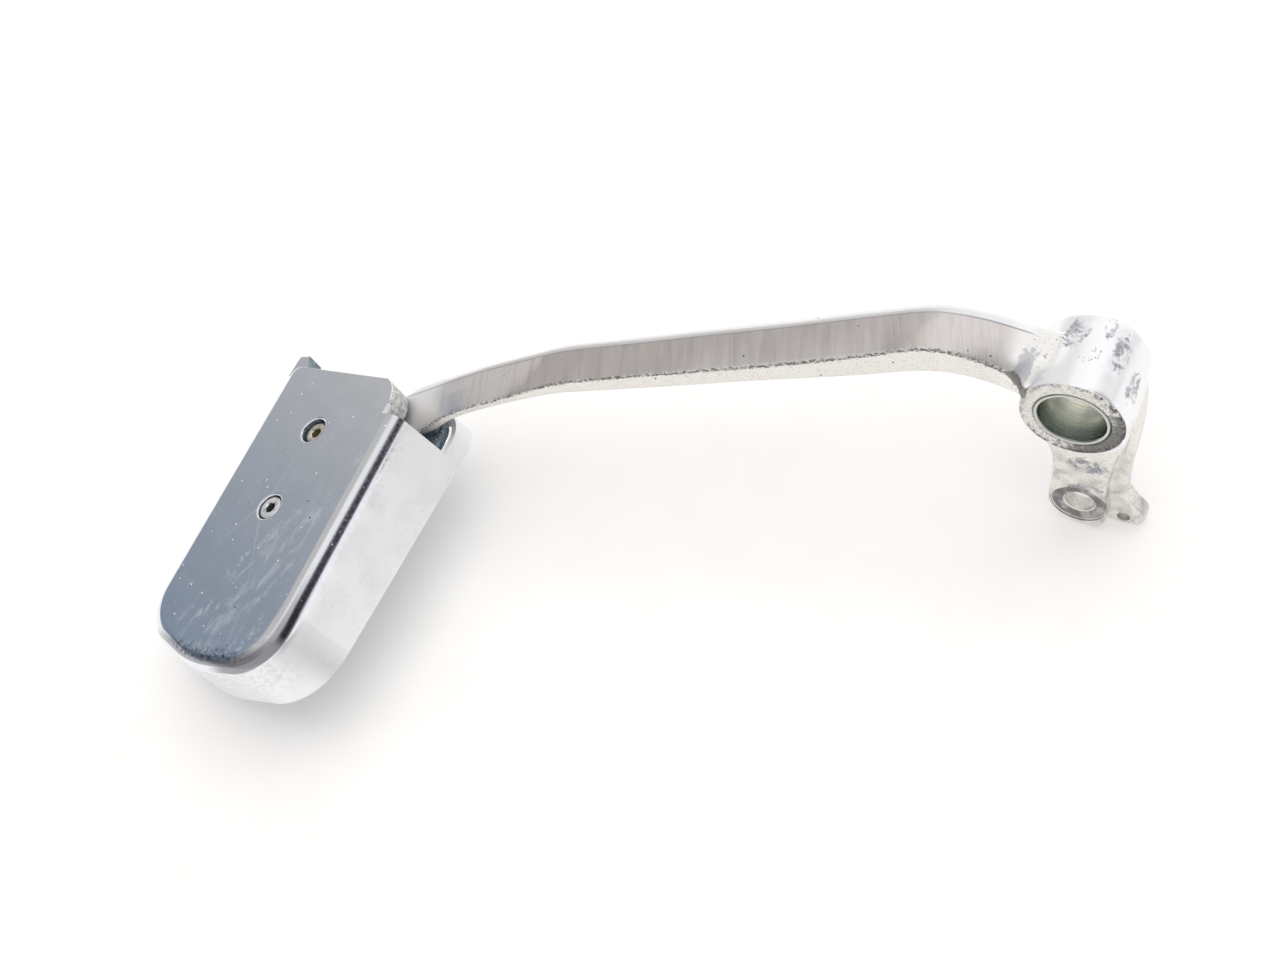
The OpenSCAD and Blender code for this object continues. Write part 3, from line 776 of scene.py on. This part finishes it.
def arm_places(tree):
    """Places on the arm, masks of its surfaces, and the noises that its layers share."""
    m = SimpleNamespace(at=place_mm(tree))
    m.x, m.y, m.z = split(tree, m.at)
    up = normal_z(tree)
    edge = node(tree, "Attribute", attribute_name="edge_place").outputs["Vector"]
    m.along, m.across, m.below = split(tree, edge)
    m.radius = distance(tree, m.x, m.z)
    on_arm = ramp(tree, m.x, -13, -17)
    m.top = times(tree, ramp(tree, up, 0.5, 0.75), ramp(tree, m.across, 12.9, 12.5), on_arm)
    m.bevel = times(tree, ramp(tree, up, 0.1, 0.3), ramp(tree, m.across, 12.6, 13), on_arm)
    m.seam = times(tree, within(tree, m.across, 12.6, 12.8, 0.3), on_arm)
    m.boss = times(tree, ramp(tree, m.radius, 15.5, 14.2), ramp(tree, m.x, -16, -12))
    m.cast = times(tree, *(less(tree, 1, mask) for mask in (m.top, m.boss, m.bevel)))
    m.saddle = times(tree, within(tree, m.x, -17, -10, 5), less(tree, 1, m.boss))
    m.tail = ramp(tree, m.x, -160, -170)
    depth = split(tree, place_pad(tree))[2]
    m.hidden = times(tree, ramp(tree, depth, -12.5, -14), ramp(tree, m.x, -155, -160))
    m.grain = noise(tree, m.at, 1.6, 6)
    m.ragged = noise(tree, m.at, 0.7, 5, 0.4)
    turn = (0, 0, -CRANK_TURN)
    m.marks = noise(tree, stretched(tree, m.at, (2.6, 0.09, 0.09), turn), 1, 4)
    m.coarse = noise(tree, stretched(tree, m.at, (0.5, 0.05, 0.05), turn), 1, 5, 0.5)
    return m


def ground_top(tree, m, coat):
    """Flat top with grinding marks across it; painted highlights on its pale end, the bevel, the tail and
    the saddle at the boss; painted dark reflections beside the saddle and along the bevel line.
    """
    slant = total(tree, m.x, times(tree, m.y, -0.4), times(tree, m.coarse, 7))
    darker = within(tree, slant, -119, -40, 2.5)
    coat.lay(DARK_FLAT, darker, m.top, ramp(tree, m.coarse, 0.2, 0.7, 0.4, 0.9))
    # painted highlight: the flat top is paler towards the pad
    coat.lay(PALE_FLAT_HIGHLIGHT, m.top, ramp(tree, slant, -119, -124), 0.85)
    coat.lay(BROAD_MARK, m.top, ramp(tree, m.coarse, 0.5, 0.72, 0, 0.28))
    coat.lay(DARK_MARK, m.top, ramp(tree, m.marks, 0.5, 0.75, 0, 0.22))
    coat.lay(PALE_MARK, m.top, ramp(tree, m.marks, 0.46, 0.25, 0, 0.25))
    # painted highlight: the bevel is whiter than the flat top
    coat.lay(BEVEL_HIGHLIGHT, m.bevel)
    # painted highlight: the tail next to the cover is pale
    coat.lay(TAIL_HIGHLIGHT, m.tail, 0.8)
    # painted highlight on the saddle, then a painted dark reflection beside it
    coat.lay(SADDLE_HIGHLIGHT, m.saddle, 0.6)
    coat.lay(SADDLE_DARK_REFLECTION, patches(tree, m.at, m.ragged, SADDLE_REFLECTION_PLACES), 0.55)
    # painted dark reflection along the line between the flat top and the bevel
    coat.lay(BEVEL_LINE_REFLECTION, m.seam, ramp(tree, m.x, -40, -22, 0.5, 0.8))


def cast_sides(tree, m, coat):
    """Boss polished and brightened by a painted highlight, grainy cast sides, stains, and the lugs darker
    towards the bottom in smudges.
    """
    # polished boss, also brightened by a painted highlight
    coat.lay(BOSS_POLISH_AND_HIGHLIGHT, m.boss)
    coat.lay(CAST_GRAIN, m.cast, ramp(tree, m.grain, 0.52, 0.72, 0, 0.5))
    cloud = use(tree, smudges, Vector=m.at, Scale=0.35, Level=0.44, Softness=0.12)
    m.stained = times(tree, patches(tree, m.at, m.ragged, STAINS), cloud)
    flecked = tint(tree, ramp(tree, m.grain, 0.42, 0.6), STAIN, STAIN_FLECK)
    coat.lay(flecked, m.stained, 0.85)
    # the lower lugs are darker towards the bottom, in smudges
    lugs = times(tree, ramp(tree, m.z, -10, -22), ramp(tree, m.x, -30, -20))
    lug_smudges = use(tree, smudges, Vector=m.at, Scale=0.22, Level=0.4, Softness=0.3)
    coat.lay(LUG_LOW_DARK, lugs, lug_smudges, 0.6)


def front_ring(tree, m, coat):
    """Front ring of the boss: clouded, speckled, and dark on its lower right."""
    ring_face = times(tree, ramp(tree, m.y, 0.5, 0.3), m.boss)
    blotch = use(tree, smudges, Vector=m.at, Scale=0.6, Level=0.42, Softness=0.2)
    dirt = use(tree, specks, Vector=m.at, Scale=2.4, Share=0.6, Size=0.34)
    fleck = ramp(tree, noise(tree, m.at, 1.9, 6), 0.5, 0.6)
    sideways = total(tree, less(tree, m.x, times(tree, m.z, 0.6)), times(tree, blotch, 4))
    low_right = ramp(tree, sideways, 4, 12)
    rim = any_of(tree,
                 times(tree, ramp(tree, m.radius, 12, 13.3), ramp(tree, sideways, -12, 6, 0.45, 1)),
                 times(tree, ramp(tree, m.radius, 11.6, 12.8), ramp(tree, m.z, -3, -8), 0.9))
    coat.lay(RING, ring_face)
    coat.lay(RING_CLOUD, ring_face, blotch, 0.3)
    coat.lay(RING_SHADE, ring_face, low_right, 0.95)
    coat.lay(RING_FLECK, ring_face, fleck, ramp(tree, sideways, -14, 8, 0.2, 0.75))
    coat.lay(SOOT, ring_face, any_of(tree, times(tree, rim, blotch), times(tree, dirt, low_right)))


def crease_shade_and_pits(tree, m, coat):
    """Painted shade in the crease beside the rod lug, pits, and the dark spot face."""
    deep = total(tree, m.y, times(tree, m.z, 0.12))
    corner_line = any_of(tree, ramp(tree, deep, 3.4, 5), within(tree, m.y, 6.4, 7.4, 0.4))
    # painted shade in the crease beside the rod lug
    coat.lay(CREASE_SHADE, within(tree, m.x, 12.3, 14, 0.6), corner_line, within(tree, m.z, -40, -8, 3),
             ramp(tree, m.y, 9, 8), ramp(tree, m.grain, 0.3, 0.6, 0.5, 0.85))
    close = use(tree, specks, Vector=m.at, Scale=1.5, Share=0.35, Size=0.24)
    few = use(tree, specks, Vector=m.at, Scale=0.35, Share=0.12, Size=0.09)
    m.pits = any_of(tree, times(tree, close, patches(tree, m.at, m.ragged, BOSS_PITS)), few)
    coat.lay(SOOT, m.pits)
    hole_x, hole_z, hole_r = ROD_HOLE
    away = distance(tree, less(tree, m.x, hole_x), less(tree, m.z, hole_z))
    m.spot = times(tree, within(tree, away, hole_r + 0.5, SPOT_R - 0.4, 0.3), ramp(tree, m.y, 3, 2))
    coat.lay(SPOT_DARK, m.spot, ramp(tree, noise(tree, m.at, 0.35, 5), 0.35, 0.6, 0.45, 1))


def near_edge(tree, m, coat):
    """Dark ragged line of wear along the near edge, widening into painted shade where the arm meets the
    boss.
    """
    away = total(tree, maths(tree, "ABSOLUTE", less(tree, m.across, 0.15)),
                 maths(tree, "ABSOLUTE", m.below))
    ragged = noise(tree, stretched(tree, m.at, (0.5, 1, 1)), 2.2, 6, 0.5)
    # the line widens into painted shade in the hollow where the arm meets the boss
    reach = total(tree, ramp(tree, ragged, 0.4, 0.72, 0.14, 0.85),
                  ramp(tree, m.along, -19, -15, 0.0, 1.6))
    m.line = ramp(tree, less(tree, away, reach), 0.25, -0.1)
    coat.lay(EDGE_WEAR_AND_SHADE, m.line, 0.8)


def arm_finish():
    mat, tree, shader = material("cast_aluminium")
    m = arm_places(tree)
    coat = Coat(tree, tint(tree, m.top, AS_CAST, POLISHED))
    for layer in (ground_top, cast_sides, front_ring, crease_shade_and_pits, near_edge):
        layer(tree, m, coat)
    # painted shade: the flat end inside the cover is coloured dark and bluish, and made dull
    coat.lay(tint(tree, ramp(tree, m.grain, 0.4, 0.65), HIDDEN_SHADE_DARK, HIDDEN_SHADE_PALE), m.hidden)
    wide = noise(tree, m.at, 0.045, 4, 0.4)
    rough = total(tree, ramp(tree, wide, 0.3, 0.7, 0.2, 0.32),
                  times(tree, any_of(tree, m.hidden, m.tail), 0.25),
                  times(tree, m.cast, ramp(tree, m.grain, 0.4, 0.7, 0.1, 0.25)))
    rough = less(tree, rough, times(tree, m.boss, 0.09))
    rough = total(tree, rough, times(tree, any_of(tree, m.stained, m.line, m.spot), 0.2))
    relief = total(tree, times(tree, m.cast, m.grain, 0.6), times(tree, m.top, m.marks, 0.12),
                   times(tree, noise(tree, m.at, 0.16, 1), m.boss, 0.9))
    relief = less(tree, relief, times(tree, any_of(tree, m.pits, m.line), 0.5))
    bumped(tree, shader, relief, 0.22, 0.7)
    # partly matt: the tail, the saddle and the boss so that their painted highlights show, the hidden end
    # with its painted shade
    matt = any_of(tree, times(tree, m.tail, 0.55), times(tree, m.hidden, 0.45),
                  times(tree, m.saddle, 0.35), times(tree, m.boss, 0.45))
    linked(tree, shader, Base_Color=coat.color, Roughness=rough, Metallic=less(tree, 1, matt))
    return mat


# Finish of the cover

CHROME, DULL_SIDE, CUT_EDGE = (0.86, 0.89, 0.93, 1), (0.93, 0.93, 0.94, 1), (0.97, 0.97, 0.98, 1)
VEIL, SCRATCH, DULL_SPOT = (0.55, 0.58, 0.63, 1), (0.55, 0.56, 0.58, 1), (0.4, 0.4, 0.42, 1)
FACET_DARK, FACET_PALE = (0.42, 0.42, 0.41, 1), (0.75, 0.74, 0.72, 1)
TIP_DARK_REFLECTION, ROLL_DARK_REFLECTION, GRIME = (0.12, 0.14, 0.17, 1), (0.16, 0.15, 0.17, 1), (0.12, 0.12, 0.13, 1)
# inside of the cover: duller unplated metal, coloured darker and bluish as painted shade
INSIDE_DARK, INSIDE_PALE, INSIDE_SPOT = (0.16, 0.20, 0.24, 1), (0.33, 0.39, 0.44, 1), (0.6, 0.65, 0.7, 1)
# hazy places on the top face: centre and half size in the cover's frame, raggedness
CLOUDS = [((33, -33, 0), (9, 16, 3), 2.2), ((42, -20, 0), (4, 14, 3), 2.5), ((28, -50, 0), (17, 7, 3), 2.5)]


def cover_finish():
    mat, tree, shader = material("plated_cover")
    at = place_pad(tree)
    x, y, z = split(tree, at)
    top_face = ramp(tree, z, -0.9, -0.3)
    side = less(tree, 1, ramp(tree, z, -6, -4))
    cut_edge = times(tree, side, ramp(tree, normal_z(tree), 0.6, 0.8))
    roll = times(tree, ramp(tree, z, -0.1, -0.6), less(tree, 1, side))
    facet = times(tree, within(tree, x, 37, 47.6, 0.3), within(tree, y, 20.7, 34, 0.3),
                  ramp(tree, z, -1.2, -2))
    # wear: scratches, specks, pits, haze and grime
    fine = use(tree, scratches, Vector=at, Scale=0.9, Width=0.012)
    long_marks = use(tree, scratches, Vector=at, Scale=0.33, Width=0.004)
    marks = any_of(tree, times(tree, fine, 0.35), times(tree, long_marks, 0.6))
    white = use(tree, specks, Vector=at, Scale=0.5, Share=0.1, Size=0.12)
    tiny = use(tree, specks, Vector=at, Scale=1.3, Share=0.08, Size=0.16)
    pits = use(tree, specks, Vector=at, Scale=0.22, Share=0.14, Size=0.07)
    veil = use(tree, smudges, Vector=at, Scale=0.09, Level=0.42, Softness=0.35)
    wisps = use(tree, smudges, Vector=stretched(tree, at, (1, 0.35, 1), (0, 0, 0.3)), Scale=0.35,
                Level=0.48, Softness=0.25)
    haze = times(tree, patches(tree, at, noise(tree, at, 0.7, 5, 0.4), CLOUDS), wisps)
    tip = times(tree, ramp(tree, y, -54, -57.5), ramp(tree, z, -1.6, -0.5))
    tip_wall = times(tree, ramp(tree, y, -50, -56), ramp(tree, z, -2, -4), ramp(tree, z, -17, -10))
    grime = use(tree, smudges, Vector=at, Scale=0.8, Level=0.47, Softness=0.16)
    grime = times(tree, any_of(tree, tip, times(tree, tip_wall, 0.16)), grime)
    # colours, from the plating outwards
    coat = Coat(tree, tint(tree, side, CHROME, DULL_SIDE))
    coat.lay(VEIL, veil, 0.16)
    coat.lay(SCRATCH, marks, side)
    coat.lay(SOOT, pits)
    coat.lay(DULL_SPOT, tiny, side, 0.4)
    facet_grain = ramp(tree, noise(tree, at, 0.7, 6), 0.35, 0.65)
    coat.lay(tint(tree, facet_grain, FACET_DARK, FACET_PALE), facet)
    # painted dark reflection along the top edge of the tip
    coat.lay(TIP_DARK_REFLECTION, ramp(tree, y, -52, -56), within(tree, z, -1.6, -0.3, 0.25), 0.6)
    # painted dark reflection in a band along the right roll, towards the tip
    coat.lay(ROLL_DARK_REFLECTION, ramp(tree, y, -22, -48), ramp(tree, x, 30, 38),
             within(tree, z, -3.4, -0.9, 0.5), 0.7)
    coat.lay(GRIME, grime)
    coat.lay(CUT_EDGE, cut_edge)
    frosted = ramp(tree, noise(tree, at, 1.1, 4), 0.4, 0.6, 0.03, 0.14)
    spots = any_of(tree, white, tiny, pits)
    rough = total(tree, ramp(tree, veil, 0, 1, 0.05, 0.12), times(tree, side, 0.24),
                  times(tree, roll, frosted), times(tree, facet, 0.3),
                  times(tree, any_of(tree, marks, haze, grime), 0.16), times(tree, spots, 0.5))
    relief = less(tree, times(tree, noise(tree, at, 0.12, 1), 0.35), times(tree, marks, 0.03))
    bumped(tree, shader, less(tree, relief, times(tree, spots, 0.3)), 0.12, 0.6)
    # light dust: dull spots and haze that scatter the light
    dusty = any_of(tree, times(tree, haze, 0.25), times(tree, white, top_face),
                   times(tree, marks, 0.25, top_face), times(tree, side, 0.3),
                   times(tree, facet, 0.6), times(tree, cut_edge, 0.9))
    linked(tree, shader, Base_Color=coat.color, Roughness=rough, Metallic=less(tree, 1, dusty))
    return mat


def inside_finish():
    mat, tree, shader = material("cover_inside")
    at = place_pad(tree)
    grain = noise(tree, at, 0.7, 6)
    # partly the duller unplated inside, partly painted shade: dark and bluish
    coat = Coat(tree, tint(tree, ramp(tree, grain, 0.35, 0.7), INSIDE_DARK, INSIDE_PALE))
    coat.lay(INSIDE_SPOT, use(tree, specks, Vector=at, Scale=1.1, Share=0.2, Size=0.2))
    linked(tree, shader, Base_Color=coat.color, Roughness=ramp(tree, grain, 0.3, 0.7, 0.42, 0.6),
           Metallic=ramp(tree, grain, 0.3, 0.7, 0.8, 0.5))
    bumped(tree, shader, grain, 0.2, 0.6)
    return mat


# Finishes of the bush and the screws

BORE_DARK, BORE_HIGHLIGHT, BORE_FILM = (0.36, 0.40, 0.39, 1), (0.92, 0.89, 0.74, 1), (0.26, 0.32, 0.34, 1)
BORE_BLUE_SHADE, BORE_RING = (0.28, 0.36, 0.39, 1), (0.46, 0.46, 0.40, 1)
BUSH_SEAM, BUSH_END = (0.30, 0.31, 0.30, 1), (0.62, 0.63, 0.60, 1)
SCREW_DIRT = (0.10, 0.09, 0.08, 1)
YELLOWED, YELLOW_SOCKET_SHADE = (0.80, 0.76, 0.62, 1), (0.26, 0.23, 0.13, 1)
PLAIN, PLAIN_SOCKET_SHADE = (0.93, 0.93, 0.92, 1), (0.12, 0.12, 0.13, 1)


def bush_finish():
    """Filmed, turned bore with a painted highlight in its middle, painted bluish shade on one side, and
    bright end rings.
    """
    mat, tree, shader = material("bush_steel")
    at = place_mm(tree)
    x, y, z = split(tree, at)
    radius = distance(tree, x, z)
    rings = noise(tree, stretched(tree, at, (0.08, 1.6, 0.08)), 1, 4)
    film = use(tree, smudges, Vector=at, Scale=0.12, Level=0.36, Softness=0.35)
    # painted highlight in the middle of the bore, darker towards its ends
    coat = Coat(tree, tint(tree, within(tree, y, 8, 15, 5), BORE_DARK, BORE_HIGHLIGHT))
    coat.lay(BORE_FILM, film, 0.35)
    # painted bluish shade on the bore's side towards -x
    coat.lay(BORE_BLUE_SHADE, ramp(tree, x, 2, -8, 0, 0.4))
    coat.lay(BORE_RING, ramp(tree, rings, 0.5, 0.7, 0, 0.25))
    end = tint(tree, within(tree, radius, 9.1, 9.6, 0.2), BUSH_SEAM, BUSH_END)
    coat.lay(end, ramp(tree, radius, BORE_R + 0.1, BORE_R + 0.3))
    linked(tree, shader, Base_Color=coat.color, Roughness=ramp(tree, rings, 0.3, 0.7, 0.2, 0.36))
    bumped(tree, shader, rings, 0.05, 0.5)
    return mat


def screw_finish(name, y0, sink, metal, deep, dirt):
    """Turned head with a share of dirt round its rim, and painted shade in its socket."""
    mat, tree, shader = material(name, 0.6)
    at = place_pad(tree)
    x, y, z = split(tree, at)
    radius = distance(tree, less(tree, x, SCREW_X), less(tree, y, y0))
    rings = noise(tree, node(tree, "CombineXYZ", ((0, radius), (2, z))).outputs[0], 3, 3)
    dirty = use(tree, smudges, Vector=at, Scale=0.8, Level=0.5, Softness=0.15)
    darker = tuple(0.8 * c for c in metal[:3]) + (1,)
    coat = Coat(tree, tint(tree, ramp(tree, rings, 0.3, 0.7), metal, darker))
    coat.lay(SCREW_DIRT, any_of(tree, times(tree, ramp(tree, radius, 2.7, 3.3), dirt),
                                times(tree, dirty, 0.6)))
    # painted shade: the socket, and the head below its top, are dark
    coat.lay(deep, ramp(tree, z, -sink - 0.35, -sink - 0.7))
    linked(tree, shader, Base_Color=coat.color, Roughness=ramp(tree, dirty, 0, 1, 0.22, 0.5))
    bumped(tree, shader, rings, 0.05, 0.6)
    return mat


edge_place(arm)
for piece, *finishes in (
        (arm, arm_finish()), (shell, cover_finish(), inside_finish()), (ring, bush_finish()),
        (root_screw, screw_finish("yellow_screw", ROOT_Y, ROOT_SINK, YELLOWED, YELLOW_SOCKET_SHADE, 0.8)),
        (tip_screw, screw_finish("plain_screw", TIP_Y, TIP_SINK, PLAIN, PLAIN_SOCKET_SHADE, 0.15))):
    piece.data.materials.clear()
    for finish in finishes:
        piece.data.materials.append(finish)
mark_inside(shell, 1)


# Floor, light and camera

WHITE = (1, 1, 1, 1)
BOARD_PALE, BOARD_WARM, BOARD_GLOW = (0.97, 0.95, 0.93, 1), (0.95, 0.93, 0.905, 1), 0.38
ROOM_DIM = (0.56, 0.54, 0.525, 1)
# soft round zones of the room: azimuth, elevation, inner and outer angle in degrees, and colour
ROOM_ZONES = [
    (2, 54, 10, 32, (0.84, 0.83, 0.82, 1)), (-15, -5, 24, 38, WHITE),
    (25, 32, 18, 34, (0.92, 0.92, 0.93, 1)), (-98, 8, 14, 34, (0.23, 0.28, 0.35, 1)),
    (80, 42, 12, 36, (0.06, 0.05, 0.07, 1)), (70, -4, 14, 26, WHITE),
    (170, 20, 30, 70, (0.75, 0.75, 0.75, 1)),
]
LAMP_SIZE, LAMP_POWER, LAMP_AT, LAMP_AIM = 1.5, 11, Vector((-0.1, 0.15, 1.2)), Vector((-0.1, -0.02, 0))
# the photograph's camera, in metres: where it is and its own axes
CAMERA_AT = (0.03326, -0.24087, 0.34114)
CAMERA_RIGHT, CAMERA_UP = (0.9029, 0.4142, -0.1150), (-0.2928, 0.7884, 0.5411)
CAMERA_BACK = (0.3148, -0.4549, 0.8331)


def toward(azimuth, elevation):
    """Unit vector; azimuth 0 looks along +Y and 90 along +X."""
    a, e = radians(azimuth), radians(elevation)
    return Vector((sin(a) * cos(e), cos(a) * cos(e), sin(e)))


def in_scene(name, data):
    """New object of lamp or camera data in the scene."""
    obj = bpy.data.objects.new(name, data)
    bpy.context.collection.objects.link(obj)
    return obj


def lay_board():
    """Wide pale board under the part; it glows a little, so that it shows white."""
    bpy.ops.object.select_all(action="DESELECT")
    bpy.ops.mesh.primitive_plane_add(size=6, location=(-0.1, 0, cad_box[0].z))
    floor = bpy.context.object
    floor.name = "floor"
    board, tree, shader = material("floor_board", 0)
    at = node(tree, "TexCoord").outputs["Object"]
    pale = tint(tree, ramp(tree, noise(tree, at, 60, 4), 0.4, 0.7), BOARD_PALE, BOARD_WARM)
    linked(tree, shader, Base_Color=pale)
    shader.inputs["Roughness"].default_value = 0.7
    shader.inputs["Specular IOR Level"].default_value = 0.2
    path = node(tree, "LightPath").outputs
    seen = any_of(tree, path["Is Camera Ray"], path["Is Glossy Ray"])
    glow = node(tree, "Emission", ((0, WHITE), (1, 1.0)))
    shown = node(tree, "MixShader", ((0, times(tree, seen, BOARD_GLOW)), (1, shader.outputs[0]),
                                     (2, glow.outputs[0])))
    tree.links.new(shown.outputs[0], tree.nodes["Material Output"].inputs[0])
    floor.data.materials.append(board)


def paint_room():
    """World: a pale room, brighter overhead, cooler on the pad's side, dim behind the boss."""
    world = bpy.data.worlds.new("studio")
    bpy.context.scene.world = world
    world.use_nodes = True
    tree = world.node_tree
    way = node(tree, "TexCoord").outputs["Generated"]
    room = tint(tree, ramp(tree, split(tree, way)[2], 0.86, 0.97), ROOM_DIM, WHITE)
    for azimuth, elevation, inner, outer, color in ROOM_ZONES:
        links = ((0, way), (1, toward(azimuth, elevation)))
        facing = node(tree, "VectorMath", links, operation="DOT_PRODUCT").outputs["Value"]
        zone = ramp(tree, facing, cos(radians(outer)), cos(radians(inner)))
        room = tint(tree, zone, room, color)
    room = tint(tree, node(tree, "LightPath").outputs["Is Camera Ray"], room, WHITE)
    tree.links.new(room, tree.nodes["Background"].inputs[0])
    tree.nodes["Background"].inputs[1].default_value = 1.0


def hang_lamp():
    """Soft lamp overhead, unseen in the metal."""
    lamp = bpy.data.lights.new("soft_top", "AREA")
    lamp.size, lamp.energy = LAMP_SIZE, LAMP_POWER
    lamp_obj = in_scene("soft_top", lamp)
    lamp_obj.visible_glossy = False
    lamp_obj.location = LAMP_AT
    lamp_obj.rotation_euler = (LAMP_AIM - LAMP_AT).to_track_quat("-Z", "Y").to_euler()


def place_camera():
    cam = bpy.data.cameras.new("camera")
    cam.lens, cam.sensor_width = 45, 36
    cam_obj = in_scene("camera", cam)
    turn = Matrix((CAMERA_RIGHT, CAMERA_UP, CAMERA_BACK)).transposed()
    cam_obj.matrix_world = Matrix.Translation(CAMERA_AT) @ turn.to_4x4()
    bpy.context.scene.camera = cam_obj


lay_board()
paint_room()
hang_lamp()
place_camera()
bpy.context.scene.view_settings.view_transform = "Standard"
